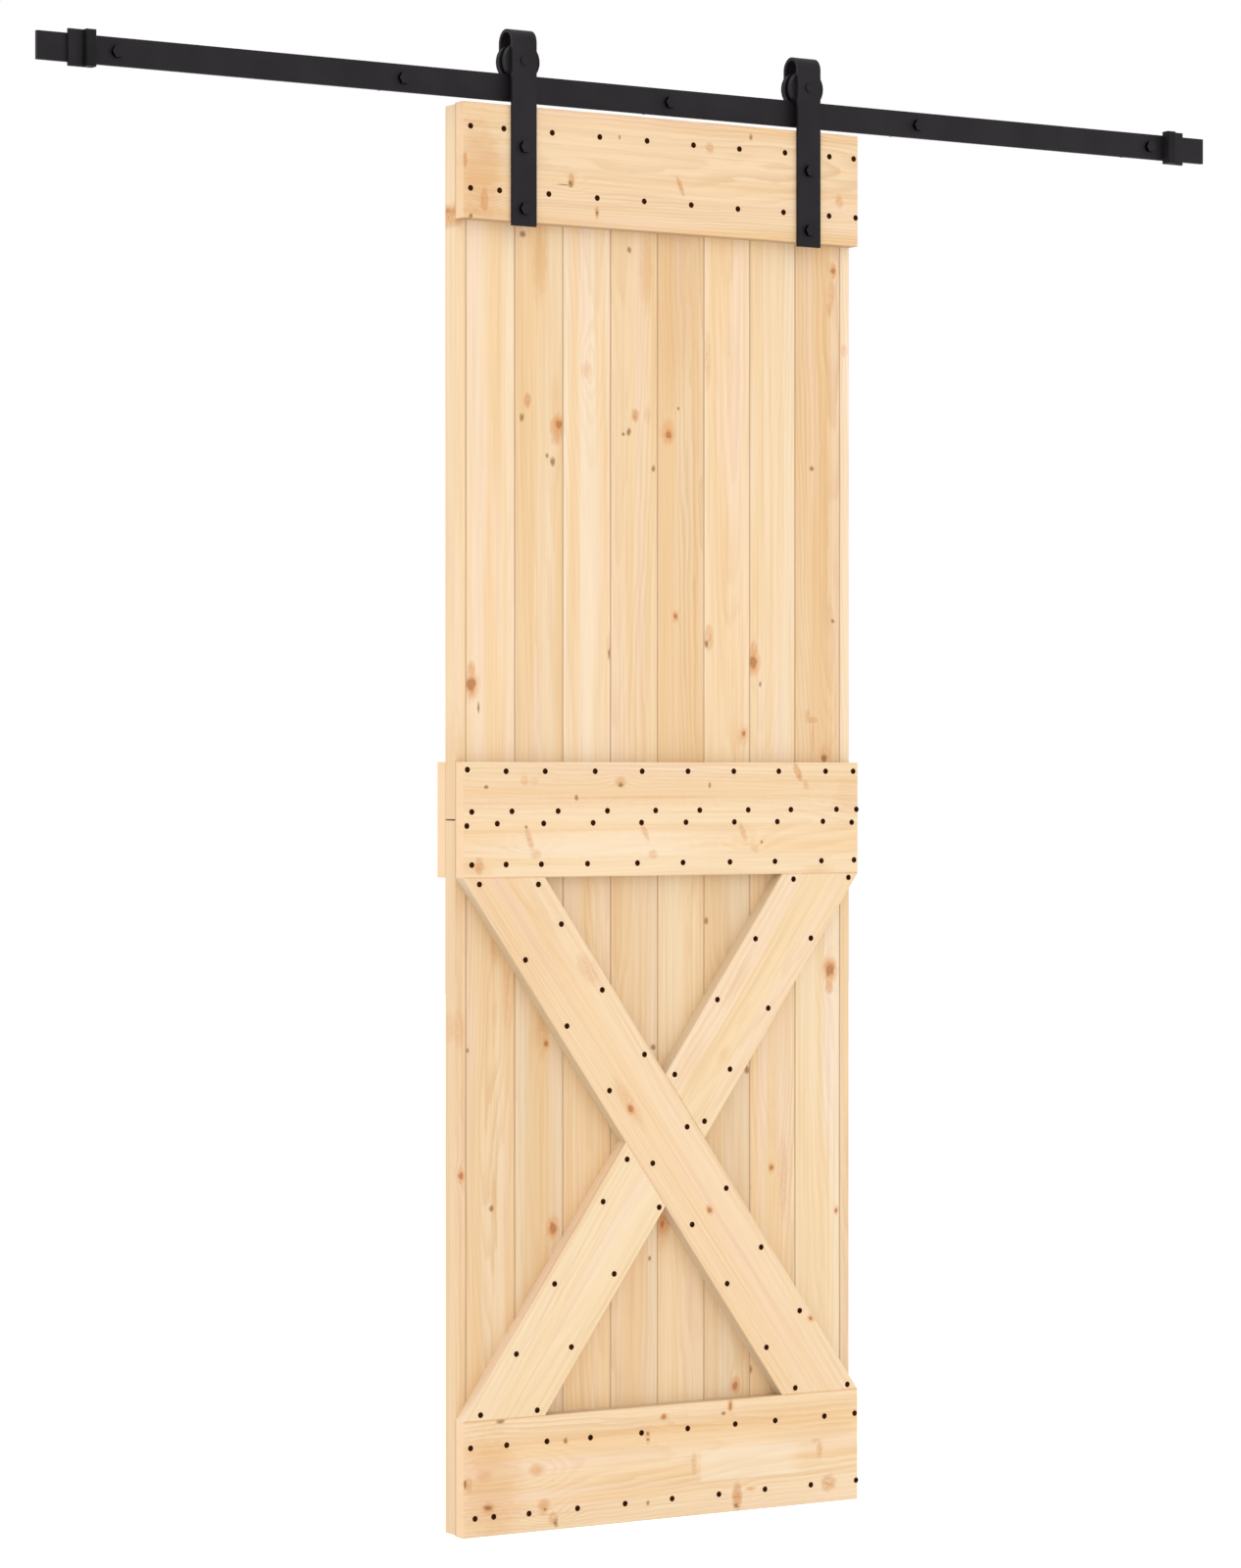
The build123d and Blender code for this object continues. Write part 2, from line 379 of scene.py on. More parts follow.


# Masks for a piece's long side faces, which get painted shade, for its sanded ends, and for the seam along
# its back, which gets a painted contact shadow
def makePieceEdgeGroup(shape):
    tree, given, result = newGroup(
        "pieceEdgeMasks",
        {"Place": "vector", "Half Width": "value", "Half Depth": "value", "Half Length": "value"},
        {"Flank": "value", "End": "value", "Seam": "value"},
    )
    parts = splitAxes(tree, given["Place"])
    beside = calc(tree, "SUBTRACT", calc(tree, "ABSOLUTE", parts["X"]), given["Half Width"])
    beyond = calc(tree, "SUBTRACT", calc(tree, "ABSOLUTE", parts["Z"]), given["Half Length"])
    behind = calc(tree, "ADD", parts["Y"], given["Half Depth"])
    before = calc(tree, "SUBTRACT", given["Half Depth"], parts["Y"])
    connect(tree, result["Flank"], calc(tree, "MULTIPLY", mapRange(tree, beside, *shape["flankReach"]),
                                        mapRange(tree, behind, *shape["faceReach"])))
    connect(tree, result["End"], mapRange(tree, beyond, *shape["endReach"]))
    connect(tree, result["Seam"], mapRange(tree, before, *shape["contactShadeReach"]))
    return tree


pineKnot = makeKnotGroup(knotShape)
pineGrain = makeGrainGroup(grainShape)
boardJoint = makeJointGroup(jointShape)
glueLamella = makeLamellaGroup(lamellaShape)
pieceEdgeMasks = makePieceEdgeGroup(pieceEdgeShape)

pineLook = {
    "pale": (0.835, 0.660, 0.442),
    "warm": (0.815, 0.583, 0.333),
    "rosy": (0.835, 0.640, 0.462),
    "streak": (0.62, 0.275, 0.090, 1.0),
    "wash": (0.90, 0.78, 0.64, 1.0),
    "halo": (0.66, 0.285, 0.080, 1.0),
    "core": (0.47, 0.175, 0.050, 1.0),
    "rim": (0.25, 0.085, 0.024, 1.0),
    "pin": (0.26, 0.098, 0.012, 1.0),
    "cream": (0.86, 0.72, 0.54, 1.0),
    "sideShade": (0.82, 0.92, 1.05, 1.0),   # painted shade on the side faces: multiplies the wood's own colour
    # The rails' side faces get a darker painted shade
    "railSideShade": (0.72, 0.76, 0.80, 1.0),
    "sanded": (0.845, 0.580, 0.348, 1.0),
    # Painted shade colour: in the board joints, with dust, and along a rail's back seam
    "joint": (0.46, 0.31, 0.18, 1.0),
    "haloStrength": 0.72,
    "coreStrength": 0.9,
    "rimStrength": 0.62,
    "pinStrength": 0.8,
    "outlineStrength": 0.4,
    "lamellaStrength": 0.5,
    "sandedStrength": 0.75,
    # Strength of the painted contact shadow along a rail's back seam
    "contactShadeStrength": 0.7,
    "jointStrength": 0.6,
    "jointWidth": 0.0018,
    "patchScale": (260.0, 260.0, 110.0),
    "patchRange": (0.36, 0.64, 0.45, 1.0),
    "outlineLevel": 1.3,               # an outline shows most where a streak's patches show least
    "ringSpacing": 0.0048,
    "ringContrast": 0.42,
    "ringSlope": 0.02,
    "pithDepth": 0.055,
    "roughness": (0.62, 0.5),          # between the rings and on them
    "bump": 0.12,
    "bumpDepth": 0.0006,
}


def tinted(color, tint):
    return tuple(part * amount for part, amount in zip(color, tint)) + (1.0,)


# turn is the angle about Y that stands the piece's grain upright, in degrees
def makePine(name, centre, turn, wood, planeY, joints=None):
    material, tree, shader = newMaterial(name)
    rotation = Matrix.Rotation(math.radians(turn), 3, "Y")
    location = -(rotation @ Vector(centre))
    coords = addNode(tree, "ShaderNodeTexCoord").outputs["Object"]
    mapping = addNode(tree, "ShaderNodeMapping", {"Vector": coords, "Location": location,
                                                  "Rotation": (0, math.radians(turn), 0)})
    place = mapping.outputs["Vector"]

    def spotAt(px, py):
        return rotation @ photoPoint(px, py, planeY) + location

    def knotAt(px, py, size, stretch, tilt=0):
        return useGroup(tree, pineKnot, {"Place": place, "Centre": spotAt(px, py), "Radius": size / 1000,
                                         "Stretch": stretch, "Tilt": math.radians(tilt)})

    def most(mask, other):
        return calc(tree, "MAXIMUM", mask, other)

    def softMarks(marks):
        mask = 0.0
        for px, py, size, stretch, strength in marks:
            mask = most(mask, calc(tree, "MULTIPLY", knotAt(px, py, size, stretch)["Halo"], strength))
        return mask

    def cover(color, mask, tone, strength):
        return blendColor(tree, calc(tree, "MULTIPLY", mask, pineLook[strength]), color, pineLook[tone])

    lift, core, rim, halo, pin, stain, outline = (0.0,) * 7
    for px, py, size, stretch in wood.get("knots", []):
        knot = knotAt(px, py, size, stretch)
        lift = calc(tree, "ADD", lift, knot["Lift"])
        core = most(core, knot["Core"])
        rim = most(rim, knot["Rim"])
        halo = most(halo, knot["Halo"])
    for px, py, size, stretch in wood.get("swirls", []):
        lift = calc(tree, "ADD", lift, knotAt(px, py, size, stretch)["Lift"])
    for px, py, size, stretch in wood.get("pins", []):
        pin = most(pin, knotAt(px, py, size, stretch)["Core"])
    for px, py, size, stretch, strength, *tilt in wood.get("streaks", []):
        mark = knotAt(px, py, size, stretch, *tilt)["Halo"]
        stain = most(stain, calc(tree, "MULTIPLY", mark, strength))
        border = calc(tree, "MULTIPLY", mark, calc(tree, "SUBTRACT", 1.0, mark))
        outline = most(outline, calc(tree, "MULTIPLY", border, 4 * strength ** 2))  # a border's peak is 1/4

    tint = wood.get("tint", (1, 1, 1))
    even = wood.get("even", 0.0)                  # how far the warm bands fade into the pale ones
    warm = Vector(pineLook["warm"]).lerp(Vector(pineLook["pale"]), even)
    grain = useGroup(tree, pineGrain, {
        "Place": place, "Seed": wood["seed"], "Pith": (wood["pith"], pineLook["pithDepth"], 0.0),
        "Slope": wood.get("slope", pineLook["ringSlope"]),
        "Spacing": wood.get("spacing", pineLook["ringSpacing"]),
        "Lift": lift, "Contrast": pineLook["ringContrast"] * wood.get("contrast", 1.0),
        "Pale": tinted(pineLook["pale"], tint), "Warm": tinted(warm, tint),
        "Rosy": tinted(pineLook["rosy"], tint)})
    color = grain["Color"]
    if "creams" in wood:
        color = blendColor(tree, softMarks(wood["creams"]), color, pineLook["cream"])
    if "washes" in wood:
        color = blendColor(tree, softMarks(wood["washes"]), color, pineLook["wash"], "MULTIPLY")
    if "streaks" in wood:
        patchy = mapRange(tree, drawnNoise(tree, place, pineLook["patchScale"]), *pineLook["patchRange"])
        color = blendColor(tree, calc(tree, "MULTIPLY", stain, patchy), color, pineLook["streak"])
        bare = calc(tree, "SUBTRACT", pineLook["outlineLevel"], patchy)
        color = cover(color, calc(tree, "MULTIPLY", outline, bare), "core", "outlineStrength")
    if "pins" in wood:
        color = cover(color, pin, "pin", "pinStrength")
    if "knots" in wood:
        color = cover(color, halo, "halo", "haloStrength")
        color = cover(color, core, "core", "coreStrength")
        color = cover(color, rim, "rim", "rimStrength")
    if "lamella" in wood:
        left, top, right, bottom = wood["lamella"]
        block = useGroup(tree, glueLamella, {"Place": place, "Upper": spotAt(left, top),
                                             "Lower": spotAt(right, bottom)})
        color = cover(color, block["Mask"], "cream", "lamellaStrength")
    if "half" in wood:
        width, depth, length = wood["half"]
        edges = useGroup(tree, pieceEdgeMasks, {"Place": place, "Half Width": width, "Half Depth": depth,
                                          "Half Length": length})
        # Painted shade: the side faces' colour is multiplied darker
        shadedSide = blendColor(tree, 1.0, color, wood.get("sideShade", pineLook["sideShade"]), "MULTIPLY")
        color = blendColor(tree, edges["Flank"], color, shadedSide)
        color = cover(color, edges["End"], "sanded", "sandedStrength")
        # A painted contact shadow along the back seam, where a rail meets the panel
        if wood.get("contactShade"):
            color = cover(color, edges["Seam"], "joint", "contactShadeStrength")
    if joints:
        line = useGroup(tree, boardJoint, {"Place": place, "Low": joints[0], "High": joints[1],
                                           "Width": pineLook["jointWidth"]})
        color = cover(color, line["Mask"], "joint", "jointStrength")
    connect(tree, shader.inputs["Base Color"], color)
    connect(tree, shader.inputs["Roughness"], mapRange(tree, grain["Ring"], 0.0, 1.0, *pineLook["roughness"]))
    bump = addNode(tree, "ShaderNodeBump", {"Height": grain["Height"], "Strength": pineLook["bump"],
                                            "Distance": pineLook["bumpDepth"]})
    connect(tree, shader.inputs["Normal"], bump.outputs["Normal"])
    return material


def paint(nodeName, material):
    mesh = nodes[nodeName].data
    mesh.materials.clear()
    mesh.materials.append(material)


def middle(nodeName):
    low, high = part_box(nodeName)
    return (low + high) / 2


def halfSize(nodeName):
    low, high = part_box(nodeName)
    return (high - low) / 2


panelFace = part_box("upper_board_1")[0].y
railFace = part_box("top_rail")[0].y

# Each mark is a picture pixel, a radius in millimetres and how far it is drawn out along the grain.
# Streaks, creams and washes add a strength, and a streak may add the degrees by which it is tilted.
# Knots are brown with a rim, pins small and dark, and swirls only bend the rings.
panelWood = {
    "upper_left_stile": {
        "seed": 1.3, "tint": (1.0, 0.97, 0.93), "pith": 0.03,
        "knots": [(462, 214, 3.6, 1.4)],
        "streaks": [(462, 221, 8.0, 0.7, 0.9)],
        "washes": [(463, 805, 16.0, 2.6, 0.6)],
    },
    "upper_board_1": {
        "seed": 2.1, "pith": -0.01, "contrast": 0.6,
        "knots": [(480.5, 698, 7.2, 1.3)],
        "pins": [(488, 722, 2.1, 4.0)],
        "streaks": [(481, 681, 2.8, 1.4, 0.7)],
    },
    "upper_board_2": {
        "seed": 3.7, "tint": (0.955, 0.93, 0.895), "pith": 0.03,
        "knots": [(570.5, 433, 4.4, 1.4)],
        "pins": [(532, 426, 4.1, 1.5), (558, 465, 2.7, 1.6), (563.5, 471, 4.9, 1.3),
                 (533, 239, 5.1, 1.0)],
        "streaks": [(538, 409, 2.8, 1.5, 1.0), (568, 438, 6.0, 1.4, 0.85)],
        "washes": [(551, 264, 7.0, 3.4, 0.8), (566, 412, 5.0, 4.0, 0.5)],
    },
    "upper_board_3": {
        "seed": 4.9, "tint": (1.0, 1.01, 1.05), "pith": 0.0, "slope": 0.03, "contrast": 0.7,
        "pins": [(621.5, 667, 2.0, 4.0)],
        "streaks": [(598, 377, 5.0, 1.0, 0.4), (622, 661, 3.0, 3.0, 0.4)],
        "swirls": [(600, 375, 8.0, 1.6)],
    },
    "upper_board_4": {
        "seed": 5.3, "tint": (0.965, 0.94, 0.905), "pith": -0.03,
        "pins": [(635.5, 443, 2.9, 1.0), (641.6, 441, 4.1, 1.3), (666.6, 478.5, 3.4, 1.5),
                 (642, 255, 4.1, 1.2)],
        "streaks": [(648, 424, 3.0, 1.3, 1.0), (661, 424, 3.4, 1.6, 0.35)],
        "washes": [(659, 278, 7.0, 3.4, 0.75)],
    },
    "upper_board_5": {
        "seed": 6.1, "tint": (0.935, 0.895, 0.85), "pith": 0.05, "contrast": 1.2,
        "knots": [(682, 444, 4.4, 1.2), (689, 629, 3.1, 1.2)],
        "pins": [(692, 417, 2.4, 1.0)],
        "streaks": [(681, 441, 6.5, 1.1, 0.5)],
        "washes": [(690, 320, 18.0, 3.0, 0.4)],
    },
    "upper_board_6": {
        "seed": 7.7, "pith": 0.0, "slope": 0.025, "contrast": 0.8,
        "knots": [(758.5, 748.5, 2.8, 1.1)],
        "pins": [(720.7, 657, 3.9, 1.4)],
        "streaks": [(723, 651, 3.8, 2.0, 0.7), (722, 368, 3.0, 6.0, 0.4), (758, 750, 6.0, 1.0, 0.4)],
    },
    "upper_board_7": {
        "seed": 8.3, "tint": (0.99, 1.02, 1.07), "pith": -0.02, "contrast": 0.6,
        "knots": [(768.4, 676, 6.8, 1.2)],
        "pins": [(775.5, 698, 2.2, 2.2)],
        "streaks": [(769, 662, 3.2, 1.4, 0.75)],
    },
    "upper_board_8": {
        "seed": 9.2, "tint": (0.935, 0.88, 0.82), "pith": 0.02, "contrast": 1.7, "slope": 0.03,
        "swirls": [(836, 610, 7.0, 6.0), (846, 700, 6.0, 5.0)],
        "knots": [(850, 277, 3.6, 1.2)],
        "pins": [(828, 478, 4.1, 1.0), (850, 634, 3.4, 1.0), (841, 774, 5.4, 1.0)],
        "streaks": [(848, 300, 2.8, 3.4, 0.6), (846, 316, 2.4, 2.0, 0.7), (824, 731, 2.0, 2.0, 0.6),
                    (829, 735, 4.0, 0.5, 0.8), (829, 753, 1.0, 9.0, 0.6), (842, 769, 5.0, 1.2, 0.5)],
    },
    "upper_right_stile": {
        "seed": 10.4, "tint": (1.05, 1.15, 1.38), "pith": 0.04,
        "streaks": [(861, 358, 3.5, 1.2, 0.4)],
    },
    "lower_left_stile": {
        "seed": 11.6, "tint": (0.945, 0.885, 0.805), "pith": 0.03,
        "knots": [(470.5, 1200, 3.6, 1.3)],
        "streaks": [(468, 1050, 5.0, 2.0, 0.4)],
    },
    "lower_board_1": {
        "seed": 12.8, "tint": (0.94, 0.905, 0.865), "pith": 0.01, "contrast": 1.7,
        "swirls": [(502, 1030, 9.0, 5.0), (490, 1180, 8.0, 5.0)],
        "pins": [(477, 1072, 2.9, 1.2), (501, 1233, 4.1, 1.1)],
        "streaks": [(505, 965, 5.0, 2.0, 0.4), (517, 1020, 3.5, 6.0, 0.4)],
        "washes": [(503, 1222, 4.0, 4.0, 0.6)],
    },
    "lower_board_2": {
        "seed": 13.4, "tint": (0.9, 0.875, 0.83), "pith": -0.02, "contrast": 1.5,
        "swirls": [(552, 1140, 8.0, 5.0)],
        "knots": [(557, 1065, 3.0, 1.1), (564, 1253, 5.8, 1.25)],
        "streaks": [(553, 1055, 5.0, 3.0, 0.4)],
    },
    "lower_board_3": {"seed": 14.9, "tint": (0.94, 0.92, 0.89), "pith": 0.04, "contrast": 1.2},
    "lower_board_4": {
        "seed": 15.2, "tint": (0.92, 0.9, 0.89), "pith": -0.03,
        "pins": [(666.5, 1069, 4.4, 1.0), (662.5, 1284, 2.7, 1.4)],
    },
    "lower_board_5": {
        "seed": 16.7, "tint": (0.955, 0.94, 0.91), "pith": 0.02,
        "knots": [(675.5, 1249, 3.4, 1.4)],
        "streaks": [(675.5, 1246, 7.0, 1.4, 1.0), (675, 1262, 6.0, 1.6, 0.4)],
    },
    "lower_board_6": {
        "seed": 17.1, "tint": (0.895, 0.875, 0.86), "pith": 0.0,
        "knots": [(750, 1414, 4.6, 1.3)],
        "pins": [(720.3, 939.5, 3.9, 1.3), (762, 1092, 3.9, 1.8), (761.5, 1085, 2.2, 1.6)],
    },
    "lower_board_7": {
        "seed": 18.5, "tint": (0.965, 0.96, 0.955), "pith": -0.01, "contrast": 1.5,
        "swirls": [(790, 1080, 9.0, 5.0), (778, 1290, 7.0, 5.0)],
        "knots": [(786.8, 1191.5, 3.2, 1.1)],
        "pins": [(765.5, 1397, 4.1, 1.5)],
        "streaks": [(799, 1200, 4.0, 6.0, 0.4), (764, 1210, 3.0, 6.0, 0.4)],
    },
    "lower_board_8": {
        "seed": 19.3, "tint": (1.0, 1.06, 1.14), "pith": 0.03, "contrast": 0.7,
        "knots": [(846.5, 990, 7.4, 1.25), (853, 1235, 2.4, 1.2)],
        "streaks": [(846, 1007, 3.4, 1.2, 0.8)],
    },
    "lower_right_stile": {
        "seed": 20.6, "tint": (0.97, 0.99, 1.04), "pith": 0.04,
        "washes": [(862, 1330, 7.0, 16.0, 0.55)],
    },
}
railWood = {
    "top_rail": {
        "seed": 31.4, "pith": 0.02, "contrast": 1.6, "spacing": 0.0042, "tint": (0.965, 0.915, 0.87),
        "swirls": [(494, 207, 9.0, 1.2), (584, 186, 5.0, 1.0)],
        "pins": [(582, 187, 5.6, 0.7), (766, 140, 4.4, 0.7), (632, 140, 3.7, 0.55),
                 (609, 218, 3.9, 0.6), (480.5, 220, 3.9, 0.8), (575, 188.5, 1.1, 10.0)],
        "streaks": [(583, 184, 5.0, 0.4, 1.0), (694, 190, 7.5, 0.2, 0.9, 24),
                    (724, 151, 3.8, 0.75, 0.75), (609, 217, 4.2, 0.33, 1.0),
                    (856, 206, 5.3, 0.54, 0.65), (494, 204, 8.4, 0.29, 0.95),
                    (474.5, 163, 5.3, 0.26, 1.0)],
        "washes": [(490, 175, 42.0, 0.4, 1.0)],
    },
    "mid_rail_front": {
        "seed": 35.8, "pith": -0.02, "contrast": 0.9, "tint": (1.0, 0.98, 0.955),
        "swirls": [(540, 860, 7.0, 1.3), (763, 860, 6.0, 1.3), (633, 800, 5.0, 1.5)],
        "pins": [(633, 801, 3.7, 1.2), (588, 814, 4.4, 0.7), (724, 801, 4.4, 0.5), (496, 803, 2.9, 1.2),
                 (777, 859, 2.4, 1.0), (537, 844, 2.4, 0.9)],
        "streaks": [(814, 788, 7.5, 0.28, 0.95, 28), (822, 801, 4.0, 0.5, 0.55, 30),
                    (633, 798, 4.2, 0.95, 0.7), (535, 797, 3.6, 0.7, 0.45), (545, 798, 3.0, 0.9, 0.35),
                    (540, 856, 9.5, 0.2, 0.65, 18), (547, 872, 3.6, 1.0, 0.5),
                    (489, 884, 6.0, 0.5, 0.8), (658, 849, 7.5, 0.25, 0.6, 28),
                    (666, 872, 3.6, 0.9, 0.5), (758, 849, 7.0, 0.28, 0.65, 22),
                    (770, 866, 4.5, 0.5, 0.45, 50), (640, 814, 1.0, 60.0, 0.35)],
        "washes": [(640, 806, 13.0, 20.0, 0.5), (866, 812, 16.0, 1.0, 0.6), (484, 887, 6.0, 2.4, 0.6),
                   (835, 887, 4.0, 3.0, 0.5)],
        "creams": [(620, 862, 11.0, 8.0, 0.45)],
    },
    "mid_rail_back": {"seed": 38.2, "pith": 0.0, "contactShade": False},   # its back shows, so no painted contact shadow there
    "bottom_rail": {
        "seed": 42.6, "pith": 0.01, "contrast": 1.3, "tint": (1.01, 0.995, 0.985),
        "lamella": (713, 1481, 811, 1503),
        "swirls": [(495, 1500, 14.0, 1.4), (548, 1502, 9.0, 1.6), (560, 1545, 9.0, 1.2),
                   (752, 1527, 7.0, 1.2), (661, 1465, 6.0, 1.2)],
        "knots": [(677, 1446, 3.4, 0.9), (745, 1434, 5.0, 0.45)],
        "pins": [(577, 1470, 4.1, 0.9), (510, 1451, 3.2, 2.6), (661, 1463, 2.7, 0.8),
                 (661, 1469, 2.2, 1.4), (661, 1534, 4.4, 0.8), (567, 1554, 6.1, 0.8),
                 (556, 1540, 2.7, 1.0), (498, 1539, 3.9, 1.6), (738, 1442, 2.4, 1.4),
                 (751, 1536, 3.4, 1.0), (474.5, 1515, 7.3, 0.3)],
        "streaks": [(752, 1527, 9.8, 0.34, 1.0), (766, 1519, 1.8, 2.2, 0.6), (845, 1513, 6.4, 0.8, 0.8),
                    (836, 1479, 7.0, 0.3, 0.6), (833, 1470, 2.0, 2.0, 0.5), (708, 1494, 8.2, 0.24, 0.5),
                    (555, 1537, 6.0, 0.7, 0.4), (564, 1549, 5.0, 0.6, 0.7), (498, 1539, 4.4, 0.9, 0.75),
                    (547, 1500, 4.6, 1.1, 0.4), (494, 1506, 5.0, 1.1, 0.4), (661, 1466, 5.4, 0.34, 0.6),
                    (478, 1515, 6.0, 0.4, 0.7)],
        "washes": [(500, 1515, 48.0, 0.45, 0.85), (640, 1455, 8.0, 20.0, 0.4),
                   (555, 1537, 6.0, 0.7, 1.0), (547, 1500, 4.6, 1.1, 1.0), (494, 1506, 5.0, 1.1, 1.0)],
    },
}
braceWood = {
    "brace_long": {
        "seed": 51.7, "tint": (0.991, 0.955, 0.925), "even": 0.45, "pith": 0.02, "contrast": 0.8,
        "knots": [(643, 1131, 3.4, 1.4), (724, 1235, 3.1, 1.1), (827, 1345, 2.7, 1.2)],
        "streaks": [(601, 991, 7.0, 1.6, 0.4), (641, 1125, 6.0, 3.0, 0.4)],
        "washes": [(530, 940, 34.0, 1.6, 0.3)],
    },
    "brace_upper": {
        "seed": 55.1, "tint": (0.995, 0.993, 0.968), "even": 0.5, "pith": -0.02, "contrast": 0.7,
        # Its side faces get a lighter painted shade than the default
        "sideShade": (0.9, 0.94, 1.0, 1.0),
        "washes": [(752, 1002, 6.0, 3.0, 0.45), (738, 1076, 4.0, 1.6, 0.5), (706, 1085, 9.0, 2.0, 0.3)],
    },
    "brace_lower": {
        "seed": 58.9, "tint": (1.005, 1.02, 1.015), "even": 0.5, "pith": 0.03, "contrast": 0.7,
        # Its side faces get almost no painted shade
        "sideShade": (1.0, 0.99, 1.05, 1.0),
    },
}
far = 1.0                              # an open edge or end has no neighbour, so it is put out of reach
tongueLength = 0.007
braceCut = 0.139                       # length of a brace's level cut
cutHalfWidth = 0.001                   # a cut brace isn't centred, so all its side faces get the painted shade


def paintWood():
    for name, wood in panelWood.items():
        half = halfSize(name)
        tongue = 0.0 if name.endswith("right_stile") else tongueLength
        leftEdge = -far if name.endswith("left_stile") else -half.x
        rightEdge = far if name.endswith("right_stile") else half.x - tongue
        paint(name, makePine(name + "_pine", middle(name), 0, wood, panelFace, (leftEdge, rightEdge)))
    for name, wood in railWood.items():
        half = halfSize(name)
        edged = {"contactShade": True, "half": (half.z, half.y, half.x), "sideShade": pineLook["railSideShade"], **wood}
        paint(name, makePine(name + "_pine", middle(name), 90, edged, railFace))
    half = halfSize("brace_long")
    lean = math.atan2(2 * half.x - braceCut, 2 * half.z)
    for name, wood in braceWood.items():
        whole = name == "brace_long"
        width = braceCut * math.cos(lean) / 2 if whole else cutHalfWidth
        edged = {**wood, "half": (width, half.y, far)}
        turn = math.degrees(lean if whole else -lean)
        paint(name, makePine(name + "_pine", middle(name), turn, edged, railFace))


paintWood()
print("pine finished on", len(panelWood) + len(railWood) + len(braceWood), "pieces")


# Black hardware

coatShape = {
    "cloudScale": 14.0,
    "cloudDetail": 3.0,
    "cloudShare": 0.6,
    "speckScale": 900.0,
    "speckShare": 0.4,
    "toneRange": (0.35, 0.65),
    "roughness": (0.3, 0.7, 0.5, 0.62),
    "peelScale": 420.0,
    "peelDetail": 1.0,
    "peelDepth": 0.0003,
}


def makeCoatGroup(shape):
    tree, given, result = newGroup(
        "powderCoat",
        {"Place": "vector", "Dark": "color", "Light": "color"},
        {"Color": "color", "Roughness": "value", "Height": "value"},
    )
    cloud = noise(tree, given["Place"], shape["cloudScale"], shape["cloudDetail"])
    speck = noise(tree, given["Place"], shape["speckScale"])
    peel = noise(tree, given["Place"], shape["peelScale"], shape["peelDetail"])
    tone = calc(tree, "ADD", calc(tree, "MULTIPLY", cloud, shape["cloudShare"]),
                calc(tree, "MULTIPLY", speck, shape["speckShare"]))
    connect(tree, result["Color"], blendColor(tree, mapRange(tree, tone, *shape["toneRange"]),
                                              given["Dark"], given["Light"]))
    connect(tree, result["Roughness"], mapRange(tree, speck, *shape["roughness"]))
    connect(tree, result["Height"], peel)
    return tree


powderCoat = makeCoatGroup(coatShape)


# A bolt head gets a near-black painted shade on the flanks behind its face, which lies at faceY
def makeCoat(name, look, faceY=None):
    material, tree, shader = newMaterial(name)
    coords = addNode(tree, "ShaderNodeTexCoord").outputs["Object"]
    coat = useGroup(tree, powderCoat, {"Place": coords, "Dark": look["dark"], "Light": look["light"]})
    color = coat["Color"]
    if faceY is not None:
        # Painted shade: the flanks behind the head's face turn near black
        depth = calc(tree, "SUBTRACT", splitAxes(tree, coords)["Y"], faceY)
        flankShade = calc(tree, "MULTIPLY", mapRange(tree, depth, *look["flankStart"]),
                     mapRange(tree, depth, *look["flankEnd"]))
        color = blendColor(tree, flankShade, color, look["flankShade"])
    connect(tree, shader.inputs["Base Color"], color)
    connect(tree, shader.inputs["Roughness"], coat["Roughness"])
    shader.inputs["Specular IOR Level"].default_value = look["shine"]
    bump = addNode(tree, "ShaderNodeBump", {"Height": coat["Height"], "Strength": look["bump"],
                                            "Distance": coatShape["peelDepth"]})
    connect(tree, shader.inputs["Normal"], bump.outputs["Normal"])
    return material


steelLook = {
    "dark": (0.0095, 0.0075, 0.0095, 1),
    "light": (0.0150, 0.0120, 0.0150, 1),
    "shine": 0.2,
    "bump": 0.2,
}
wheelLook = {
    "dark": (0.006, 0.005, 0.006, 1),
    "light": (0.010, 0.008, 0.010, 1),
    "shine": 0.18,
    "bump": 0.1,
}
rubberLook = {
    "dark": (0.009, 0.008, 0.009, 1),
    "light": (0.014, 0.013, 0.013, 1),
    "shine": 0.12,
    "bump": 0.4,
}
boltLook = {
    "dark": (0.0235, 0.0210, 0.0235, 1),
    "light": (0.0290, 0.0260, 0.0290, 1),
    "shine": 0.0,
    "bump": 0.2,
    # Painted shade on the flanks of the bolt heads
    "flankShade": (0.001, 0.0008, 0.001, 1),
    "flankStart": (0.0005, 0.0012),    # metres behind the head's face
    "flankEnd": (0.010, 0.008),
}


def paintHardware():
    steel = makeCoat("blackSteel", steelLook)
    wheel = makeCoat("blackWheel", wheelLook)
    rubber = makeCoat("blackRubber", rubberLook)
    for name in ("track_rail", "standoffs", "left_stop", "right_stop"):
        paint(name, steel)
    for name in ("lag_bolts", "left_strap_bolts", "right_strap_bolts"):
        paint(name, makeCoat(name + "_coat", boltLook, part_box(name)[0].y))
    for side in ("left", "right"):
        for piece in ("_strap", "_axle"):
            paint(side + piece, steel)
        paint(side + "_wheel", wheel)
        paint(side + "_bumper", rubber)


paintHardware()
print("hardware painted")


# Screws in the rails and braces, as picture pixels

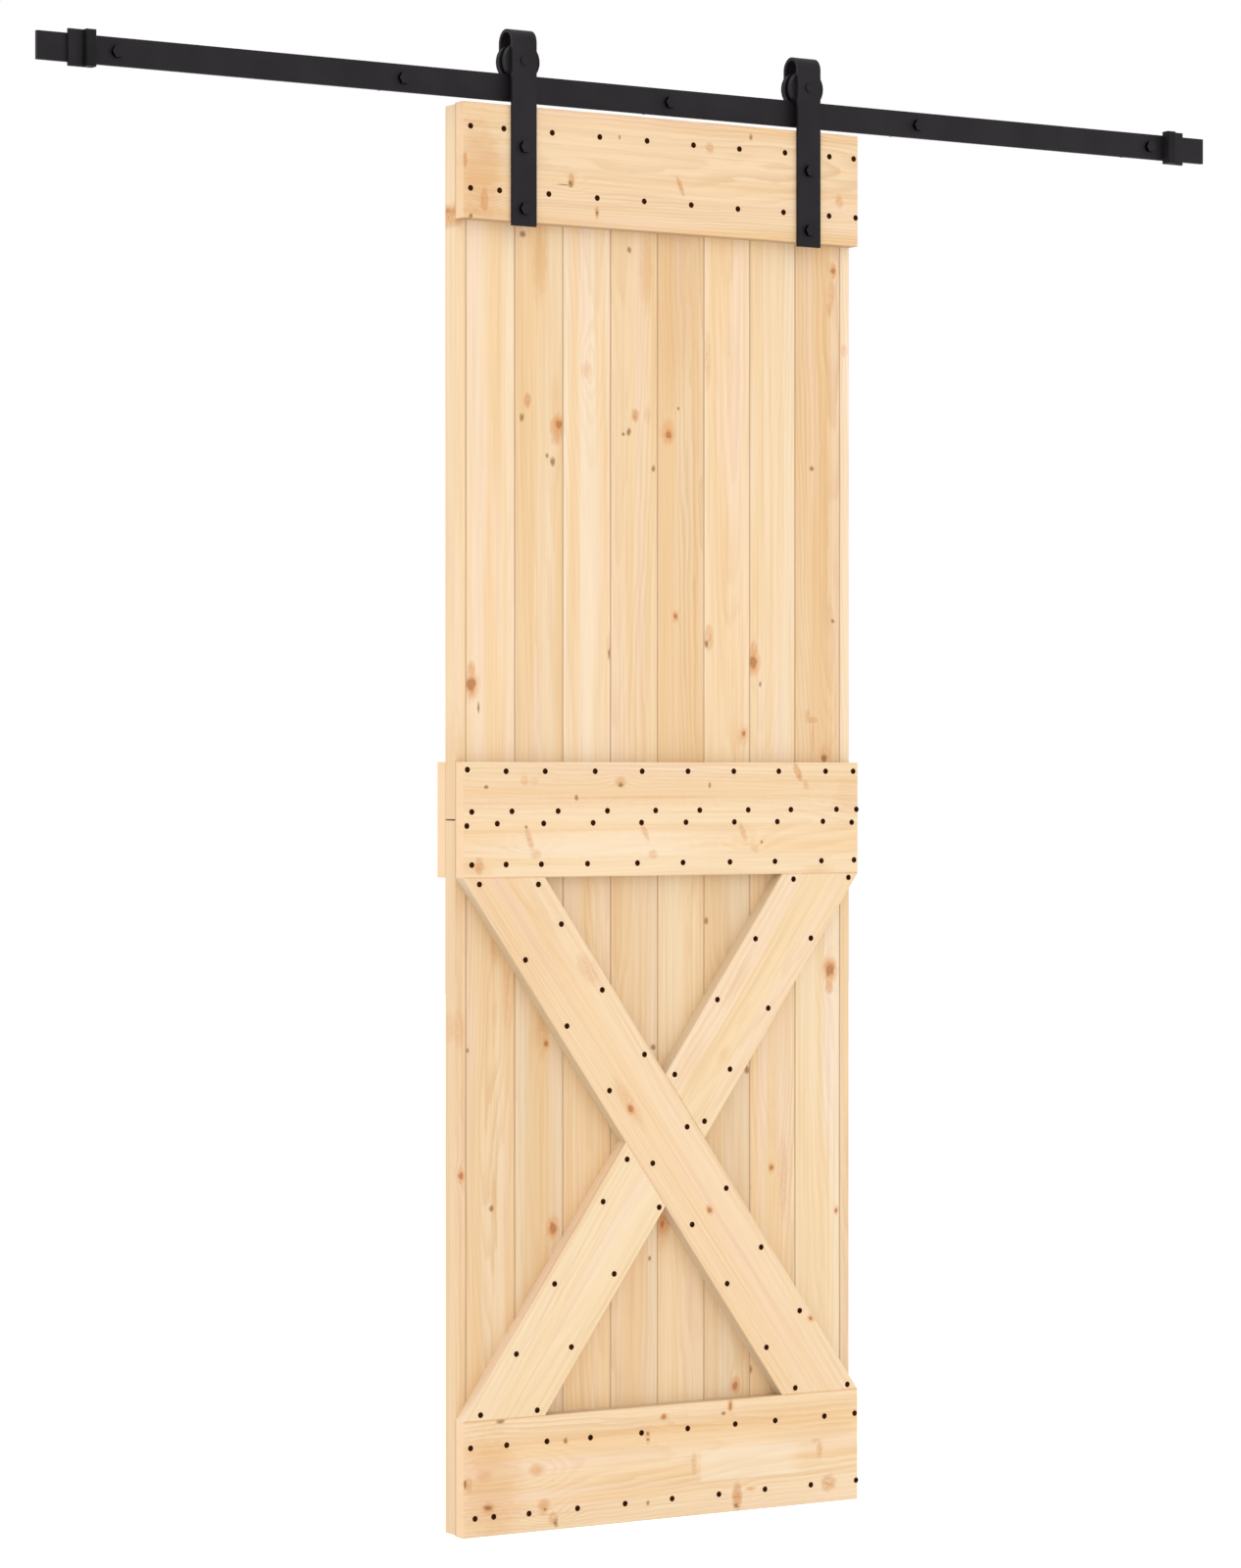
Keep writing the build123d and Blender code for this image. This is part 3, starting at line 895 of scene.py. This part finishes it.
screwLook = {
    "headRadius": 0.0044,
    "headHeight": 0.0009,
    "headSides": 18,
    "crown": 0.72,                     # flat of the head, as a share of its radius
    "crossLength": 0.0048,
    "crossWidth": 0.0011,
    "crossLift": 0.9,                  # middle of the cutting bars, as a share of the head's height
    "seed": 7,
    "color": (0.044, 0.011, 0.0015, 1),
    "grime": (0.024, 0.006, 0.0010, 1),
    "grimeScale": 260.0,
    "grimeRange": (0.35, 0.65),
    "roughness": (0.3, 0.7, 0.6, 0.75),
    "shine": 0.02,
}
screwPixels = {
    "topUpper": [(480.1, 128.3), (514, 131.2), (563.4, 135.5), (611.9, 139.8), (660.1, 143.8),
                 (707.5, 148.1), (754.3, 152.1), (800.8, 155.9), (846.1, 159.9), (870.8, 162.2)],
    "topLower": [(480.1, 191.7), (509.7, 194.3), (559.9, 198), (609.3, 202.1), (657.2, 205.5),
                 (705.2, 209.2), (752.8, 213.3), (799.3, 216.7), (845.8, 220.4), (872.8, 222.4)],
    "midFirst": [(476.8, 785.4), (516.3, 787), (556.2, 787), (607.2, 787), (655.1, 787), (701.9, 787),
                 (748.6, 787), (794.5, 787), (842.2, 787), (870.3, 787)],
    "midSecond": [(481.3, 828.5), (522.3, 827.9), (569.4, 827.6), (619.7, 827.3), (668.9, 827),
                  (713.9, 826.7), (763.3, 826.4), (806.8, 826.1), (853.3, 825.8), (873.6, 825.8)],
    "midThird": [(476.2, 842.9), (507.3, 840.5), (554.7, 840.2), (605.1, 839.6), (654.5, 839.3),
                 (699.8, 839), (749.2, 838.7), (793, 838.4), (839.5, 838.1), (868.8, 839)],
    "midFourth": [(481.3, 882.8), (516.3, 882.2), (552.3, 881.9), (599.4, 881.3), (650.3, 880.7),
                  (696.8, 880.1), (744.7, 879.5), (790.6, 878.9), (838, 878.3), (871.2, 877.4)],
    "bottomUpper": [(480.1, 1478), (516.9, 1474.7), (558, 1470.8), (602.4, 1466.9), (654.5, 1462.1),
                    (701.6, 1457.6), (750.1, 1453.1), (790.9, 1449.5), (841, 1445), (871.8, 1442)],
    "bottomLower": [(484.6, 1549.9), (503.7, 1547.8), (539.7, 1544.5), (589.2, 1539.1), (637.7, 1534.3),
                    (685.7, 1529.2), (733.4, 1524.7), (780.4, 1519.6), (827.2, 1515.1),
                    (873.3, 1510.3)],
    "longBrace": [(489.1, 902.5), (549.3, 902.5), (572.7, 943), (536.1, 979.5), (614.4, 1010.1),
                  (578.4, 1047), (657.5, 1076), (621.8, 1112.9), (701, 1149.8), (665.9, 1187),
                  (740.9, 1212.4), (706.1, 1249.5), (776.5, 1272.6), (741.8, 1309.8), (815.8, 1337.4),
                  (781.9, 1374.8), (864.4, 1412.6), (811.3, 1416.2)],
    "upperBrace": [(809.5, 897.1), (865.5, 895.3), (770.8, 957.9), (827.2, 957.3), (731.9, 1020),
                   (783.7, 1028.7), (688.4, 1096.4), (744.7, 1091), (718.7, 1144.1)],
    "lowerBrace": [(639.8, 1183), (615.3, 1226.2), (672.5, 1231.9), (565.8, 1310.1), (626.6, 1299.9),
                   (526.8, 1381.7), (582.9, 1374.5), (490.3, 1444.1), (548.1, 1439)],
}


def makeScrewMaterial(look):
    material, tree, shader = newMaterial("darkScrew")
    coords = addNode(tree, "ShaderNodeTexCoord").outputs["Object"]
    patches = noise(tree, coords, look["grimeScale"])
    connect(tree, shader.inputs["Base Color"],
            blendColor(tree, mapRange(tree, patches, *look["grimeRange"]), look["color"], look["grime"]))
    connect(tree, shader.inputs["Roughness"], mapRange(tree, patches, *look["roughness"]))
    shader.inputs["Specular IOR Level"].default_value = look["shine"]
    return material


# One tree turns each point into a screw head: a low dome with a cross recess, turned at random
def makeScrewTree(material, look):
    tree = bpy.data.node_groups.new("screwHeads", "GeometryNodeTree")
    tree.interface.new_socket("Geometry", in_out="INPUT", socket_type="NodeSocketGeometry")
    for label in ("Head Radius", "Head Height", "Cross Length", "Cross Width"):
        tree.interface.new_socket(label, in_out="INPUT", socket_type="NodeSocketFloat")
    tree.interface.new_socket("Seed", in_out="INPUT", socket_type="NodeSocketInt")
    tree.interface.new_socket("Geometry", in_out="OUTPUT", socket_type="NodeSocketGeometry")
    given = tree.nodes.new("NodeGroupInput").outputs
    result = tree.nodes.new("NodeGroupOutput").inputs
    rim = addNode(tree, "GeometryNodeMeshCone", {
        "Vertices": look["headSides"], "Radius Bottom": given["Head Radius"], "Depth": given["Head Height"],
        "Radius Top": calc(tree, "MULTIPLY", given["Head Radius"], look["crown"])})
    slots = addNode(tree, "GeometryNodeJoinGeometry")
    barLift = calc(tree, "MULTIPLY", given["Head Height"], look["crossLift"])
    for across, along in (("Cross Length", "Cross Width"), ("Cross Width", "Cross Length")):
        size = addNode(tree, "ShaderNodeCombineXYZ", {"X": given[across], "Y": given[along],
                                                      "Z": given["Head Height"]})
        bar = addNode(tree, "GeometryNodeMeshCube", {"Size": size.outputs[0]})
        lift = addNode(tree, "ShaderNodeCombineXYZ", {"Z": barLift})
        raised = addNode(tree, "GeometryNodeTransform", {"Geometry": bar.outputs["Mesh"],
                                                         "Translation": lift.outputs[0]})
        tree.links.new(raised.outputs[0], slots.inputs[0])
    cut = addNode(tree, "GeometryNodeMeshBoolean", {
        "Mesh 1": rim.outputs["Mesh"], "Mesh 2": slots.outputs[0]}, operation="DIFFERENCE", solver="EXACT")
    cut.inputs["Self Intersection"].default_value = True
    spin = addNode(tree, "FunctionNodeRandomValue", {"Seed": given["Seed"]}, data_type="FLOAT")
    spin.inputs[3].default_value = math.tau
    tilt = addNode(tree, "ShaderNodeCombineXYZ", {"X": math.pi / 2, "Y": spin.outputs[1]})
    spots = addNode(tree, "GeometryNodeMeshToPoints", {"Mesh": given["Geometry"]})
    placed = addNode(tree, "GeometryNodeInstanceOnPoints", {
        "Points": spots.outputs[0], "Instance": cut.outputs["Mesh"], "Rotation": tilt.outputs[0]})
    solid = addNode(tree, "GeometryNodeRealizeInstances", {"Geometry": placed.outputs[0]})
    finish = addNode(tree, "GeometryNodeSetMaterial", {"Geometry": solid.outputs[0], "Material": material})
    tree.links.new(finish.outputs[0], result["Geometry"])
    return tree


def makeScrews(look):
    material = makeScrewMaterial(look)
    points = [photoPoint(px, py, railFace) for row in screwPixels.values() for px, py in row]
    seeds = bpy.data.meshes.new("screwSpots")
    seeds.from_pydata(points, [], [])
    maker = bpy.data.objects.new("screwMaker", seeds)
    scene.collection.objects.link(maker)
    tree = makeScrewTree(material, look)
    modifier = maker.modifiers.new("screws", "NODES")
    modifier.node_group = tree
    values = {"Head Radius": look["headRadius"], "Head Height": look["headHeight"],
              "Cross Length": look["crossLength"], "Cross Width": look["crossWidth"], "Seed": look["seed"]}
    for item in tree.interface.items_tree:
        if item.in_out == "INPUT" and item.name in values:
            modifier[item.identifier] = values[item.name]
    shaped = maker.evaluated_get(bpy.context.evaluated_depsgraph_get())
    mesh = bpy.data.meshes.new_from_object(shaped)
    mesh.name = "screws"
    bpy.data.objects.remove(maker)
    screws = bpy.data.objects.new("screws", mesh)
    scene.collection.objects.link(screws)
    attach(screws, "door")
    return len(points)


print("screws set:", makeScrews(screwLook))


# Floor, light and background

stageLook = {
    "floorDrop": 0.04,
    "floorSize": 30.0,
    "floorColor": (0.92, 0.92, 0.92, 1),
    "floorRoughness": 0.9,
    "floorGlow": 0.4,                  # only what the camera sees directly
    "white": (1, 1, 1, 1),
    "skyStrength": 1.21,
}
lampSettings = {
    "rightKey": {"place": (3.6, -5.0, 0.2), "aim": (0, 0, -1.0), "size": 3.2, "power": 8},
    "leftFill": {"place": (-4.5, -4.5, -0.6), "aim": (0, 0, -1.0), "size": 4.0, "power": 8},
}


def makeFloor(look):
    half = look["floorSize"] / 2
    level = cadBox[0].z - look["floorDrop"]
    mesh = bpy.data.meshes.new("floor")
    mesh.from_pydata([(-half, -half, level), (half, -half, level), (half, half, level), (-half, half, level)],
                     [], [(0, 1, 2, 3)])
    floor = bpy.data.objects.new("floor", mesh)
    scene.collection.objects.link(floor)
    material, tree, shader = newMaterial("paleFloor")
    shader.inputs["Base Color"].default_value = look["floorColor"]
    shader.inputs["Roughness"].default_value = look["floorRoughness"]
    shader.inputs["Emission Color"].default_value = look["white"]
    seen = addNode(tree, "ShaderNodeLightPath").outputs["Is Camera Ray"]
    connect(tree, shader.inputs["Emission Strength"], calc(tree, "MULTIPLY", seen, look["floorGlow"]))
    mesh.materials.append(material)


# The sky lights the door at its own strength, and is plain white where it is seen or mirrored
def makeSky(look):
    world = bpy.data.worlds.new("whiteRoom")
    world.use_nodes = True
    scene.world = world
    tree = world.node_tree
    background = tree.nodes["Background"]
    background.inputs["Color"].default_value = look["white"]
    path = addNode(tree, "ShaderNodeLightPath").outputs
    mirrored = calc(tree, "MAXIMUM", path["Is Glossy Ray"], path["Is Transmission Ray"])
    seen = calc(tree, "MAXIMUM", path["Is Camera Ray"], mirrored)
    strength = mapRange(tree, seen, 0.0, 1.0, look["skyStrength"], 1.0, "LINEAR")
    connect(tree, background.inputs["Strength"], strength)


def makeLamps(lamps):
    for name, lamp in lamps.items():
        data = bpy.data.lights.new(name, "AREA")
        data.shape = "DISK"
        data.size = lamp["size"]
        data.energy = lamp["power"]
        light = bpy.data.objects.new(name, data)
        light.location = lamp["place"]
        toward = Vector(lamp["aim"]) - Vector(lamp["place"])
        light.rotation_euler = toward.to_track_quat("-Z", "Y").to_euler()
        scene.collection.objects.link(light)


makeFloor(stageLook)
makeSky(stageLook)
makeLamps(lampSettings)
print("floor and light set")
